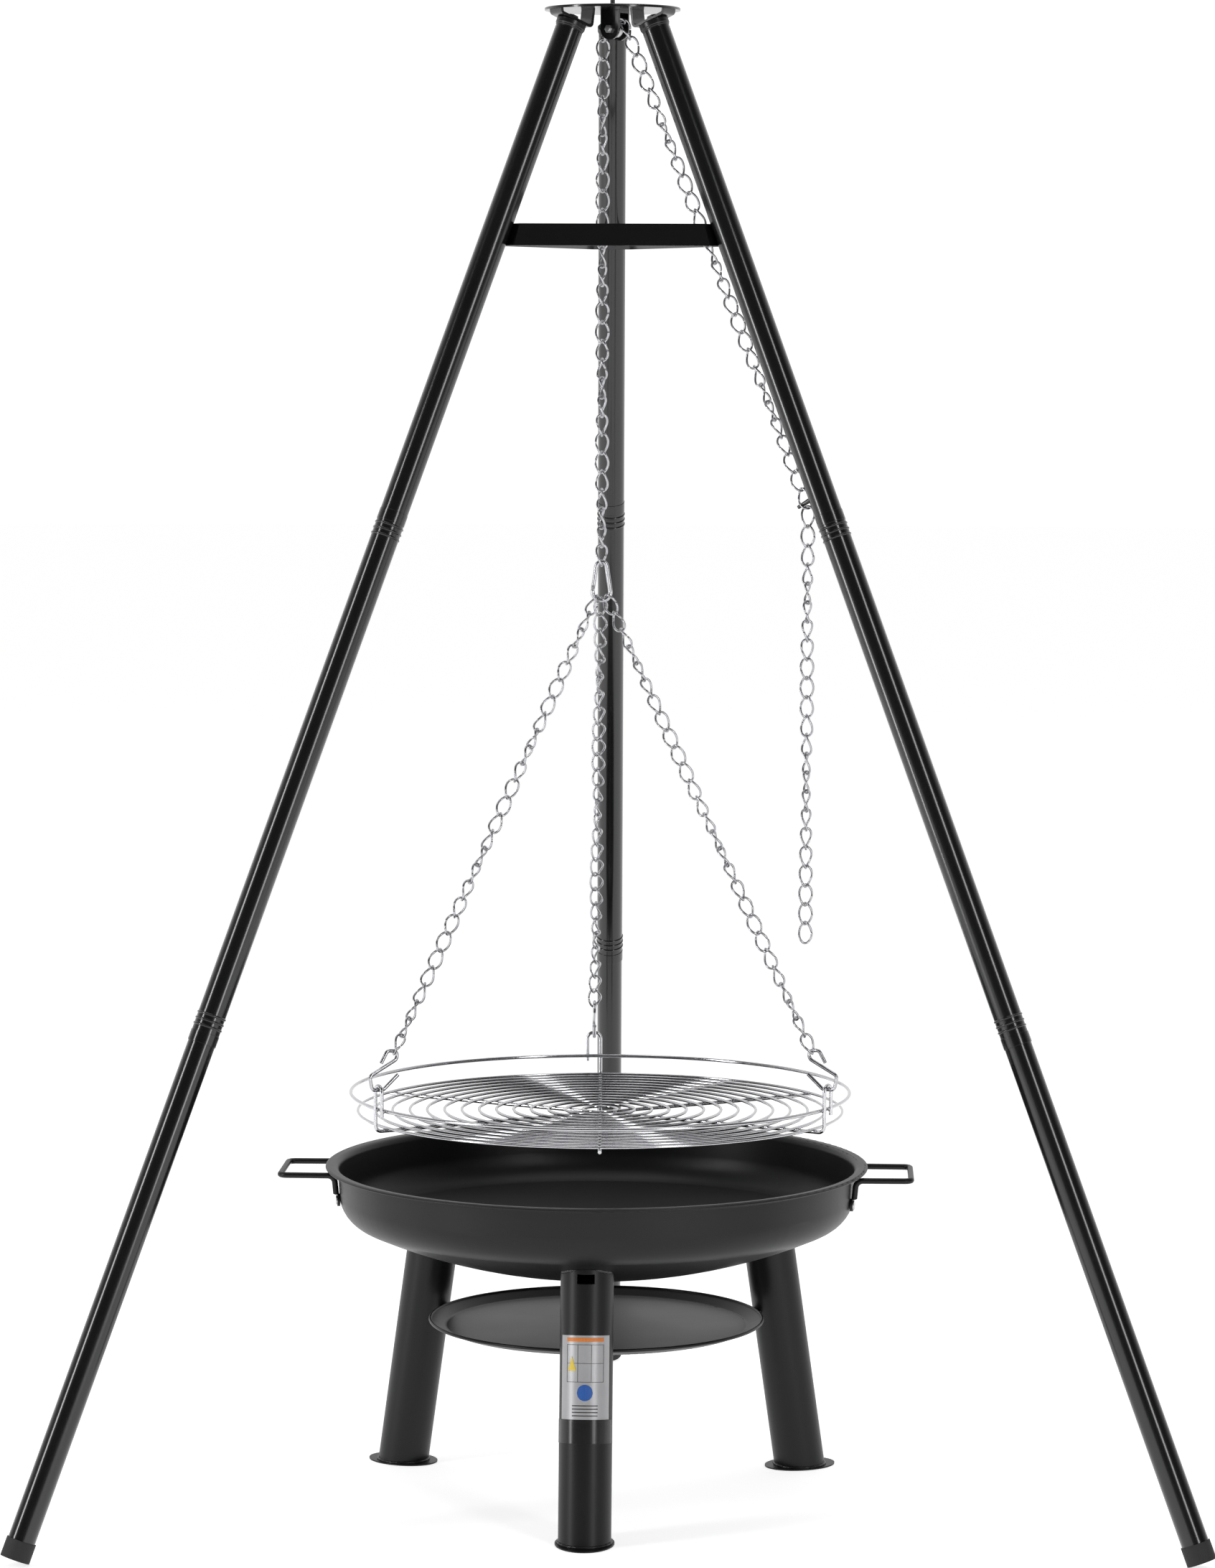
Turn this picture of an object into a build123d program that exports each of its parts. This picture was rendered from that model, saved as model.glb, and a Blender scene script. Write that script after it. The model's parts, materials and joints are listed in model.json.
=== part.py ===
from build123d import *
import os
from math import atan2, cos, degrees, hypot, radians, sin, tan

# Campfire tripod grate: a three-legged tripod with a pulley, a chain-hung cooking grate and a
# separate fire bowl on its own legs. Millimetres, +Z up, the ground at z = 0. The row origin is
# the middle of the footprint, so the tripod's own vertical axis stands at y = AXIS_Y.

os.makedirs("parts", exist_ok=True)

LEG_NAMES = {"rear": 90, "left": 210, "right": 330}
BOWL_LEG_NAMES = {"front": 270, "left": 150, "right": 30}

# ---- tripod legs: distances run down the leg from LEG_TOP ----
LEG_TILT = 22.4
LEG_TOP_R = 46.1
LEG_TOP_Z = 1633.5
WALL = 1.5
UPPER_R = 15.2
MIDDLE_R = 15.1
LOWER_R = 14.8
SOCKET_R = 15.6
SPIGOT_R = 13.3
SPIGOT_LENGTH = 60
UPPER_SEAM = 584
UPPER_BEADS = 606
LOWER_BEADS = 1163
LOWER_SEAM = 1188
SOCKET_LENGTH = 12
BEAD_PITCH = 6.2
BEAD_R = 1.3
FOOT_CAP_R = 16
FOOT_CAP_LENGTH = 21
PLUG_START = 13.2
TUBE_START = 23

# ---- top disc, straps and pulley ----
DISC_R = 74
DISC_THICK = 3
DISC_TOP = 1638
STRAP_THICK = 3
STRAP_WIDTH = 25
SHANK_R = 2.7
STUD_R = 2.5
STUD_FOOT = 1638.5
STUD_TOP = 1647
PULLEY_AZIMUTH = 330
PULLEY_S = 3
PULLEY_Z = 1614.5
WHEEL_R = 8.6
WHEEL_HALF = 3.5
CHEEK_R = 11.5
CHEEK_GAP = 18
CHEEK_THICK = 2.5
AXLE_R = 2.5

# ---- brace ----
BRACE_TOP = 1403
BRACE_HEIGHT = 24
BRACE_CORNER_R = 124.2
BRACE_SIDE_R = 75.8
BRACE_THICK = 2.5

# ---- chain ----
PITCH = 20.4
WIRE = 2.5
PLAY = 0.4
LINK_HALF_WIDTH = 7.0
LINK_SHOULDER = 7.6
LINK_END_HALF = 4.0
LINK_CORNER_R = 3.2
END_TWIST = 45
HANG_S = -12
CARABINER_JOINT_Z = 1032
HOIST_LINKS = 14
HOIST_LOWER_LINKS = 7
RUN_LINKS = 28
TAIL_UPPER_LINKS = 14
TAIL_LOWER_LINKS = 9
SLING_LINKS = 27
OVER_LEFT = (-7.0, 1623.1)
OVER_RIGHT = (13.3, 1623.3)
FIRST_OVER_TURN = 110
SECOND_OVER_TURN = 4
RUN_TURN = -16
HOOK_S = 244
HOOK_Z = 1099.5
HOOK_DIP = 30
HOOK_LENGTH = 19

# ---- carabiner ----
SNAP_WIRE = 5
SNAP_TOP_R = 5.8
SNAP_BOTTOM_R = 9.8
SNAP_TOP_Z = CARABINER_JOINT_Z + SNAP_WIRE / 2 + 0.35
SNAP_BOTTOM_Z = 992.2
SNAP_SHANK = 4
GATE_HINGE = 0.13
GATE_NOSE = 0.87
GATE_R = 2.3
PIN_R = 0.8
PIN_CLEAR = 2.7
TONGUE_R = 1.9
TONGUE_HALF = 1

# ---- grate ----
RING_PITCH = 19.2
RING_COUNT = 14
RING_WIRE = 3.2
RING_Z = 427
ROD_WIRE = 4
ROD_Z = RING_Z - (RING_WIRE + ROD_WIRE) / 2
ROD_PLAIN_END = 276
RIM_R = 276.6
RIM_Z = 447.3
HAIRPIN_R = RIM_R + ROD_WIRE + 0.1
HAIRPIN_TOP_Z = 474.3
HAIRPIN_WIDTH = 15
HAIRPIN_FREE_END = 441
S_HOOK_JOINT = (261.5, 508.8)
SLING_PLACES = {"rear": -0.8, "left": -6.4, "right": 6.4}

# ---- fire bowl ----
BOWL_TURN = -2.5
SHEET = 2
BOWL_BASE_Z = 245.5
DOME_R = 644
DOME_ANGLE = 24.1
KNUCKLE_R = 37
FLARE = 4.3
LIP_Z = 367
LIP_ROUND = 6
LIP_FLAT = 3
LIP_WIDTH = 5
LIP_DROOP_R = 3.5
LIP_DROOP = 45
BOWL_LEG_R = 28.5
BOWL_LEG_FLOOR = 262
BOWL_LEG_TILT = 9.2
FOOT_PLATE = (84, 64, 1.5)
TRAY_RIM_R = 185
TRAY_FLOOR_R = 168
TRAY_FLOOR_Z = 185
TRAY_RIM_Z = 192.5
TRAY_SHEET = 1.2
TAB_INNER_R = 150
TAB_OUTER_R = 215
HANDLE_WIRE = 6.5
HANDLE_REACH = 348.5
HANDLE_HALF = 48
HANDLE_Z = 358
BOWL_WALL_R = 285.7
RIVET_Z = 331
RIVET_R = 2.5
EYELET_R = 7
EYELET_THICK = 3
NOTCH_Z = 282
LABEL_LOW = 106
LABEL_HIGH = 219
LABEL_THICK = 0.4

# ---- where the axes stand ----
FOOT_DISTANCE = (LEG_TOP_Z - FOOT_CAP_R * sin(radians(LEG_TILT))) / cos(radians(LEG_TILT))
FOOT_R = LEG_TOP_R + FOOT_DISTANCE * sin(radians(LEG_TILT))
FAR_REACH = FOOT_R + FOOT_CAP_R * cos(radians(LEG_TILT))
NEAR_REACH = FOOT_R / 2 + FOOT_CAP_R * hypot(cos(radians(LEG_TILT)) / 2, cos(radians(30)))
AXIS_Y = (NEAR_REACH - FAR_REACH) / 2
TRIPOD_AT = (0, AXIS_Y)
HANG_AT = (HANG_S * cos(radians(PULLEY_AZIMUTH)), AXIS_Y + HANG_S * sin(radians(PULLEY_AZIMUTH)))
BOWL_AT = (-14, AXIS_Y + 4)


# ---- frames ----
def polar(centre, azimuth, radius, z):
    """The point at a radius and azimuth about a vertical axis."""
    turn = radians(azimuth)
    return Vector(centre[0] + radius * cos(turn), centre[1] + radius * sin(turn), z)


def upright(centre, azimuth):
    """A vertical plane through an axis: local x runs outward, local y is up."""
    turn = radians(azimuth)
    return Plane(
        origin=(centre[0], centre[1], 0),
        x_dir=(cos(turn), sin(turn), 0),
        z_dir=(sin(turn), -cos(turn), 0),
    )


def leg_side(azimuth):
    """The plane of one tripod leg: local x runs down the leg, local y away from the tripod axis."""
    turn = radians(azimuth)
    tilt = radians(LEG_TILT)
    down = Vector(sin(tilt) * cos(turn), sin(tilt) * sin(turn), -cos(tilt))
    return Plane(origin=polar(TRIPOD_AT, azimuth, LEG_TOP_R, LEG_TOP_Z), x_dir=down, z_dir=(sin(turn), -cos(turn), 0))


def leg_cross(azimuth, distance):
    """The plane across one tripod leg, its normal running down the leg."""
    side = leg_side(azimuth)
    return Plane(origin=side.origin + side.x_dir * distance, x_dir=side.y_dir, z_dir=side.x_dir)


def facing_out(centre, azimuth, radius):
    """An upright plane square to a radius, its normal pointing outward and its local y up."""
    turn = radians(azimuth)
    return Plane(
        origin=polar(centre, azimuth, radius, 0),
        x_dir=(-sin(turn), cos(turn), 0),
        z_dir=(cos(turn), sin(turn), 0),
    )


def bowl_leg_cross(azimuth, height):
    """The plane across one bowl leg at a height up its axis, its normal running up the leg."""
    turn = radians(azimuth)
    tilt = radians(BOWL_LEG_TILT)
    up = Vector(-sin(tilt) * cos(turn), -sin(tilt) * sin(turn), cos(tilt))
    foot = polar(BOWL_AT, azimuth, BOWL_LEG_FLOOR, 0)
    return Plane(origin=foot + up * height, x_dir=(sin(turn), -cos(turn), 0), z_dir=up)


# ---- top disc ----
with BuildPart() as top_disc:
    with BuildSketch(Plane.XY.offset(DISC_TOP - DISC_THICK)):
        with Locations(TRIPOD_AT):
            Circle(DISC_R)
            Circle(SHANK_R, mode=Mode.SUBTRACT)
    extrude(amount=DISC_THICK)
    fillet(top_disc.faces().sort_by(Axis.Z)[-1].edges().sort_by(SortBy.LENGTH)[-1], radius=1)

top_disc.part.label = "top_disc"
export_step(top_disc.part, "parts/top_disc.step")

DISC_UNDER = DISC_TOP - DISC_THICK
BRACKET_UNDER = DISC_UNDER - STRAP_THICK
BOLT_HEAD_THICK = 2.2

with BuildPart() as centre_bolt:
    with BuildSketch(Plane.XY.offset(BRACKET_UNDER - BOLT_HEAD_THICK)):
        with Locations(TRIPOD_AT):
            Circle(5.2)
    extrude(amount=BOLT_HEAD_THICK)
    with BuildSketch(Plane.XY.offset(BRACKET_UNDER)):
        with Locations(TRIPOD_AT):
            Circle(SHANK_R)
    extrude(amount=STUD_FOOT - BRACKET_UNDER)
    with BuildSketch(Plane.XY.offset(STUD_FOOT)):
        with Locations(TRIPOD_AT):
            Circle(STUD_R)
    extrude(amount=STUD_TOP - STUD_FOOT)
    chamfer(centre_bolt.faces().sort_by(Axis.Z)[-1].edges(), length=0.5)

centre_bolt.part.label = "centre_bolt"
export_step(centre_bolt.part, "parts/centre_bolt.step")

# ---- pulley bracket, axle and wheel ----
pulley_plane = upright(TRIPOD_AT, PULLEY_AZIMUTH)

with BuildPart() as pulley_bracket:
    for side in (1, -1):
        with BuildSketch(pulley_plane.offset(side * CHEEK_GAP / 2)):
            with Locations((PULLEY_S, PULLEY_Z)):
                Circle(CHEEK_R)
                Circle(AXLE_R + 0.05, mode=Mode.SUBTRACT)
            with Locations((PULLEY_S, (PULLEY_Z + DISC_UNDER) / 2)):
                Rectangle(2 * CHEEK_R, DISC_UNDER - PULLEY_Z)
            with Locations((PULLEY_S, PULLEY_Z)):
                Circle(AXLE_R + 0.05, mode=Mode.SUBTRACT)
        extrude(amount=side * CHEEK_THICK)
    with BuildSketch(pulley_plane):
        with Locations((PULLEY_S, DISC_UNDER - STRAP_THICK / 2)):
            Rectangle(2 * CHEEK_R, STRAP_THICK)
    extrude(amount=CHEEK_GAP / 2, both=True)
    with BuildSketch(Plane.XY.offset(BRACKET_UNDER - 1)):
        with Locations(TRIPOD_AT):
            Circle(SHANK_R)
    extrude(amount=STRAP_THICK + 2, mode=Mode.SUBTRACT)

pulley_bracket.part.label = "pulley_bracket"
export_step(pulley_bracket.part, "parts/pulley_bracket.step")

AXLE_HEAD = 3.5
AXLE_OUT = CHEEK_GAP / 2 + CHEEK_THICK

with BuildPart() as pulley_axle:
    with BuildSketch(pulley_plane.offset(-AXLE_OUT)):
        with Locations((PULLEY_S, PULLEY_Z)):
            RegularPolygon(radius=4, side_count=6, major_radius=False)
    extrude(amount=-AXLE_HEAD)
    with BuildSketch(pulley_plane.offset(-AXLE_OUT)):
        with Locations((PULLEY_S, PULLEY_Z)):
            Circle(AXLE_R)
    extrude(amount=2 * AXLE_OUT + AXLE_HEAD + 1.5)

pulley_axle.part.label = "pulley_axle"
export_step(pulley_axle.part, "parts/pulley_axle.step")

with BuildPart() as axle_nut:
    with BuildSketch(pulley_plane.offset(AXLE_OUT)):
        with Locations((PULLEY_S, PULLEY_Z)):
            RegularPolygon(radius=4, side_count=6, major_radius=False)
            Circle(AXLE_R, mode=Mode.SUBTRACT)
    extrude(amount=AXLE_HEAD)

axle_nut.part.label = "axle_nut"
export_step(axle_nut.part, "parts/axle_nut.step")

HUB_HALF = CHEEK_GAP / 2 - 0.4

with BuildPart() as pulley_wheel:
    with BuildSketch(pulley_plane):
        with Locations((PULLEY_S, PULLEY_Z)):
            Circle(WHEEL_R)
            Circle(AXLE_R + 0.05, mode=Mode.SUBTRACT)
    extrude(amount=WHEEL_HALF, both=True)
    with BuildSketch(pulley_plane):
        with Locations((PULLEY_S, PULLEY_Z)):
            Circle(AXLE_R + 1.3)
            Circle(AXLE_R + 0.05, mode=Mode.SUBTRACT)
    extrude(amount=HUB_HALF, both=True)

pulley_wheel.part.label = "pulley_wheel"
export_step(pulley_wheel.part, "parts/pulley_wheel.step")

# ---- leg straps: a bent strap under the disc for each leg, square to the leg ----
STRAP_MID = PLUG_START - 0.1 - STRAP_THICK / 2
STRAP_IN = 19
STRAP_OUT = 20.5
BOLT_R = 3


def strap_point(offset):
    """A point (radius, z) on the strap's sloping web, measured across the leg axis."""
    tilt = radians(LEG_TILT)
    radius = LEG_TOP_R + STRAP_MID * sin(tilt) + offset * cos(tilt)
    return (radius, LEG_TOP_Z - STRAP_MID * cos(tilt) + offset * sin(tilt))


for leg, azimuth in LEG_NAMES.items():
    inner = strap_point(-STRAP_IN)
    outer = strap_point(STRAP_OUT)
    with BuildPart() as leg_strap:
        with BuildSketch(upright(TRIPOD_AT, azimuth)):
            with BuildLine():
                FilletPolyline((inner[0] - 3, DISC_UNDER + 4), inner, outer, (outer[0] + 1, DISC_UNDER + 4), radius=3)
                offset(amount=STRAP_THICK / 2, side=Side.BOTH)
            make_face()
            with Locations((LEG_TOP_R, DISC_UNDER + 10)):
                Rectangle(120, 20, mode=Mode.SUBTRACT)
        extrude(amount=STRAP_WIDTH / 2, both=True)
        with BuildSketch(leg_cross(azimuth, 0)):
            Circle(BOLT_R)
        extrude(amount=2 * STRAP_MID, mode=Mode.SUBTRACT)
    leg_strap.part.label = "leg_strap_" + leg
    export_step(leg_strap.part, "parts/leg_strap_" + leg + ".step")

# ---- leg plugs and their bolts ----
BOLT_HEAD = 4
BOLT_END = 46
PLUG_END = 55
plug_profile = [
    (PLUG_START, BOLT_R),
    (PLUG_START, 15.6),
    (PLUG_START + 0.8, 16.4),
    (PLUG_START + 5.6, 16.4),
    (PLUG_START + 6.4, 15.6),
    (TUBE_START - 2.2, 15.6),
    (TUBE_START - 1.6, 14.9),
    (TUBE_START, 14.9),
    (TUBE_START, UPPER_R - WALL),
    (PLUG_END, UPPER_R - WALL),
    (PLUG_END, BOLT_R),
]

for leg, azimuth in LEG_NAMES.items():
    side = leg_side(azimuth)
    with BuildPart() as leg_plug:
        with BuildSketch(side):
            Polygon(*plug_profile, align=None)
        revolve(axis=Axis(side.origin, side.x_dir))
    leg_plug.part.label = "leg_plug_" + leg
    export_step(leg_plug.part, "parts/leg_plug_" + leg + ".step")

with BuildPart() as leg_bolts:
    for azimuth in LEG_NAMES.values():
        with BuildSketch(leg_cross(azimuth, STRAP_MID - STRAP_THICK / 2 - BOLT_HEAD)):
            RegularPolygon(radius=5, side_count=6, major_radius=False)
        extrude(amount=BOLT_HEAD)
        with BuildSketch(leg_cross(azimuth, STRAP_MID - STRAP_THICK / 2)):
            Circle(BOLT_R)
        extrude(amount=BOLT_END - STRAP_MID)

leg_bolts.part.label = "leg_bolts"
export_step(leg_bolts.part, "parts/leg_bolts.step")

# ---- leg tubes: upper and lower tubes push into the beaded middle tube ----
upper_profile = [
    (TUBE_START, UPPER_R - WALL),
    (TUBE_START, UPPER_R),
    (UPPER_SEAM, UPPER_R),
    (UPPER_SEAM, SPIGOT_R),
    (UPPER_SEAM + SPIGOT_LENGTH, SPIGOT_R),
    (UPPER_SEAM + SPIGOT_LENGTH, SPIGOT_R - WALL),
    (UPPER_SEAM - 3, SPIGOT_R - WALL),
    (UPPER_SEAM - 5, UPPER_R - WALL),
]
LOWER_END = FOOT_DISTANCE - 3
lower_profile = [
    (LOWER_END, LOWER_R - WALL),
    (LOWER_END, LOWER_R),
    (LOWER_SEAM, LOWER_R),
    (LOWER_SEAM, SPIGOT_R),
    (LOWER_SEAM - SPIGOT_LENGTH, SPIGOT_R),
    (LOWER_SEAM - SPIGOT_LENGTH, SPIGOT_R - WALL),
    (LOWER_SEAM + 3, SPIGOT_R - WALL),
    (LOWER_SEAM + 5, LOWER_R - WALL),
]
SCREW_DISTANCE = (LEG_TOP_Z - BRACE_TOP + BRACE_HEIGHT / 2) / cos(radians(LEG_TILT))
SCREW_R = 2.5


def brace_screw_plane(azimuth, out):
    """The plane square to a brace screw, its normal pointing out of the brace into the leg."""
    side = leg_side(azimuth)
    origin = side.origin + side.x_dir * SCREW_DISTANCE + side.y_dir * out
    return Plane(origin=origin, x_dir=side.x_dir, z_dir=side.y_dir)


for leg, azimuth in LEG_NAMES.items():
    side = leg_side(azimuth)
    with BuildPart() as leg_upper:
        with BuildSketch(side):
            Polygon(*upper_profile, align=None)
        revolve(axis=Axis(side.origin, side.x_dir))
        with BuildSketch(brace_screw_plane(azimuth, -UPPER_R - 5)):
            Circle(SCREW_R)
        extrude(amount=8, mode=Mode.SUBTRACT)
    leg_upper.part.label = "leg_upper_" + leg
    export_step(leg_upper.part, "parts/leg_upper_" + leg + ".step")

    with BuildPart() as leg_middle:
        with BuildSketch(side):
            with Locations(((UPPER_SEAM + LOWER_SEAM) / 2, (MIDDLE_R + SPIGOT_R) / 2)):
                Rectangle(LOWER_SEAM - UPPER_SEAM, MIDDLE_R - SPIGOT_R)
            for start in (UPPER_SEAM, LOWER_SEAM - SOCKET_LENGTH):
                with Locations((start + SOCKET_LENGTH / 2, (SOCKET_R + SPIGOT_R) / 2)):
                    Rectangle(SOCKET_LENGTH, SOCKET_R - SPIGOT_R)
            for middle in (UPPER_BEADS, LOWER_BEADS):
                for step in (-1, 0, 1):
                    with Locations((middle + step * BEAD_PITCH, MIDDLE_R - 0.3)):
                        Circle(BEAD_R)
        revolve(axis=Axis(side.origin, side.x_dir))
    leg_middle.part.label = "leg_middle_" + leg
    export_step(leg_middle.part, "parts/leg_middle_" + leg + ".step")

    with BuildPart() as leg_lower:
        with BuildSketch(side):
            Polygon(*lower_profile, align=None)
        revolve(axis=Axis(side.origin, side.x_dir))
    leg_lower.part.label = "leg_lower_" + leg
    export_step(leg_lower.part, "parts/leg_lower_" + leg + ".step")

    with BuildPart() as rubber_foot:
        with BuildSketch(leg_cross(azimuth, FOOT_DISTANCE)):
            Circle(FOOT_CAP_R)
        extrude(amount=-FOOT_CAP_LENGTH)
        with BuildSketch(leg_cross(azimuth, LOWER_END)):
            Circle(LOWER_R)
        extrude(amount=-FOOT_CAP_LENGTH, mode=Mode.SUBTRACT)
    rubber_foot.part.label = "rubber_foot_" + leg
    export_step(rubber_foot.part, "parts/rubber_foot_" + leg + ".step")


# ---- brace: a flat-iron triangle with cut corners, leaning with the legs ----
def brace_outline(corner_r, side_r):
    """Six corners of the brace, from its reach to the legs and to its long sides."""
    half = (side_r - corner_r * cos(radians(60))) / sin(radians(60))
    corners = []
    for azimuth in LEG_NAMES.values():
        c, s = cos(radians(azimuth)), sin(radians(azimuth))
        corners.append((corner_r * c + half * s, AXIS_Y + corner_r * s - half * c))
        corners.append((corner_r * c - half * s, AXIS_Y + corner_r * s + half * c))
    return corners


BRACE_SKIN = BRACE_THICK / cos(radians(LEG_TILT))

with BuildPart() as brace_ring:
    with BuildSketch(Plane.XY.offset(BRACE_TOP)):
        Polygon(*brace_outline(BRACE_CORNER_R, BRACE_SIDE_R), align=None)
    extrude(amount=-BRACE_HEIGHT, taper=-LEG_TILT)
    with BuildSketch(Plane.XY.offset(BRACE_TOP)):
        Polygon(*brace_outline(BRACE_CORNER_R - BRACE_SKIN, BRACE_SIDE_R - BRACE_SKIN), align=None)
    extrude(amount=-BRACE_HEIGHT, taper=-LEG_TILT, mode=Mode.SUBTRACT)
    for azimuth in LEG_NAMES.values():
        with BuildSketch(brace_screw_plane(azimuth, -UPPER_R - 8)):
            Circle(SCREW_R)
        extrude(amount=10, mode=Mode.SUBTRACT)

brace_ring.part.label = "brace_ring"
export_step(brace_ring.part, "parts/brace_ring.step")

SCREW_SEAT = (LEG_TOP_R + SCREW_DISTANCE * sin(radians(LEG_TILT)) - BRACE_CORNER_R
              - BRACE_HEIGHT / 2 * tan(radians(LEG_TILT))) * cos(radians(LEG_TILT)) + BRACE_THICK

with BuildPart() as brace_screws:
    for azimuth in LEG_NAMES.values():
        with BuildSketch(brace_screw_plane(azimuth, -SCREW_SEAT)):
            Circle(SCREW_R)
        extrude(amount=SCREW_SEAT - UPPER_R + WALL + 3)
        with BuildSketch(brace_screw_plane(azimuth, -SCREW_SEAT)):
            Circle(4.5)
        extrude(amount=-3)

brace_screws.part.label = "brace_screws"
export_step(brace_screws.part, "parts/brace_screws.step")


# ---- chain link: an oval of wire twisted a quarter turn from end to end ----
LINK_HALF = (PITCH + PLAY + WIRE) / 2


def twisted(z, y):
    """A point of the flat oval after the link is twisted about its long axis."""
    turn = radians(END_TWIST) * z / LINK_HALF
    return (y * sin(turn), y * cos(turn), z)


SIDE_Y = LINK_HALF_WIDTH * cos(radians(END_TWIST) * LINK_SHOULDER / LINK_HALF)

with BuildPart() as half_link:
    with BuildLine() as half_loop:
        FilletPolyline(
            (0, SIDE_Y, 0),
            twisted(LINK_SHOULDER, LINK_HALF_WIDTH),
            twisted(LINK_HALF, LINK_END_HALF),
            twisted(LINK_HALF, -LINK_END_HALF),
            twisted(LINK_SHOULDER, -LINK_HALF_WIDTH),
            (0, -SIDE_Y, 0),
            radius=LINK_CORNER_R,
        )
    with BuildSketch(Plane(origin=half_loop.line @ 0, z_dir=half_loop.line % 0)):
        Circle(WIRE / 2)
    sweep()

with BuildPart() as link:
    add(half_link.part)
    add(half_link.part, rotation=(0, 180, 0))


def link_places(start, end, count, facing, turns):
    """Locations of the links between two joints; facing is the flat side, turned link by link."""
    span = Vector(end) - Vector(start)
    along = span.normalized()
    flat = (Vector(facing) - along * Vector(facing).dot(along)).normalized()
    places = []
    for number in range(count):
        centre = Vector(start) + span * ((number + 0.5) / count)
        turn = radians(turns(number))
        facing_now = flat * cos(turn) + along.cross(flat) * sin(turn)
        places.append(Plane(origin=centre, x_dir=facing_now, z_dir=along).location)
    return places


def hoist_turn(number):
    """Twist of the hoist chain: one turn every 14 links, so lifted links fall on each other."""
    return 45 + 360 * number / HOIST_LINKS


hang_low = Vector(HANG_AT[0], HANG_AT[1], CARABINER_JOINT_Z)
hang_mid = hang_low + Vector(0, 0, HOIST_LINKS * PITCH)
hang_high = hang_mid + Vector(0, 0, HOIST_LINKS * PITCH)
over_left = polar(TRIPOD_AT, PULLEY_AZIMUTH, OVER_LEFT[0], OVER_LEFT[1])
over_right = polar(TRIPOD_AT, PULLEY_AZIMUTH, OVER_RIGHT[0], OVER_RIGHT[1])
hook_joint = polar(TRIPOD_AT, PULLEY_AZIMUTH, HOOK_S, HOOK_Z)
tail_top = hook_joint - Vector(0, 0, 0.2)
tail_mid = tail_top - Vector(0, 0, TAIL_UPPER_LINKS * PITCH)
tail_end = tail_mid - Vector(0, 0, TAIL_LOWER_LINKS * PITCH)

FRONT = (0, -1, 0)
wheel_normal = pulley_plane.z_dir
wheel_out = pulley_plane.x_dir
hang_split = hang_low + Vector(0, 0, HOIST_LOWER_LINKS * PITCH)


def first_over_turn(number):
    return FIRST_OVER_TURN


def second_over_turn(number):
    return SECOND_OVER_TURN


def run_turn(number):
    return RUN_TURN * (1 - number / (RUN_LINKS - 1))


def tail_turn(number):
    """One turn over the upper links; the lower ones, up to the free end, hang nearly straight."""
    return 360 * number / TAIL_UPPER_LINKS


def tail_end_turn(number):
    return 9 * number


def middle_turn(number):
    return hoist_turn(number + HOIST_LOWER_LINKS)


hoist_lower = link_places(hang_low, hang_split, HOIST_LOWER_LINKS, FRONT, hoist_turn)
hoist_middle = link_places(hang_split, hang_mid, HOIST_LINKS - HOIST_LOWER_LINKS, FRONT, middle_turn)
hoist_upper = link_places(hang_mid, hang_high, HOIST_LINKS, FRONT, hoist_turn)
first_over = link_places(hang_high, over_left, 1, wheel_normal, first_over_turn)
second_over = link_places(over_left, over_right, 1, Vector(0, 0, 1), second_over_turn)
down_run = link_places(over_right, hook_joint, RUN_LINKS, wheel_out, run_turn)
tail_first = link_places(tail_top, tail_mid, TAIL_UPPER_LINKS, wheel_out, tail_turn)
tail_last = link_places(tail_mid, tail_end, TAIL_LOWER_LINKS, wheel_out, tail_end_turn)

chain_runs = {
    "hoist_chain_lower": hoist_lower,
    "hoist_chain_middle": hoist_middle,
    "hoist_chain_upper": hoist_upper,
    "chain_run": first_over + second_over + down_run,
    "tail_chain_upper": tail_first,
    "tail_chain_lower": tail_last,
}

# ---- carabiner: pear-shaped snap hook in a plane facing the front ----
snap_plane = Plane(origin=(HANG_AT[0], HANG_AT[1], 0), x_dir=(1, 0, 0), z_dir=(0, -1, 0))
SNAP_TOP_C = SNAP_TOP_Z - SNAP_TOP_R
SNAP_BOTTOM_C = SNAP_BOTTOM_Z + SNAP_BOTTOM_R
SNAP_LEAN = degrees(atan2(SNAP_BOTTOM_R - SNAP_TOP_R, SNAP_TOP_C - SNAP_BOTTOM_C))


def snap_point(side, share):
    """A point on the straight side of the carabiner, from its bottom bend (0) to its top bend (1)."""
    c, s = cos(radians(SNAP_LEAN)), sin(radians(SNAP_LEAN))
    low = (side * SNAP_BOTTOM_R * c, SNAP_BOTTOM_C + SNAP_BOTTOM_R * s)
    high = (side * SNAP_TOP_R * c, SNAP_TOP_C + SNAP_TOP_R * s)
    return (low[0] + share * (high[0] - low[0]), low[1] + share * (high[1] - low[1]))


gate_x = Vector(*snap_point(-1, 1)) - Vector(*snap_point(-1, 0))
gate_up = Vector(gate_x.X, 0, gate_x.Y).normalized()
hinge_2d = snap_point(-1, GATE_HINGE)
hinge_point = Vector(HANG_AT[0] + hinge_2d[0], HANG_AT[1], hinge_2d[1])
gate_plane = Plane(origin=hinge_point, x_dir=gate_up, z_dir=(0, -1, 0))
GATE_TOP = (GATE_NOSE - GATE_HINGE) * gate_x.length

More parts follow.
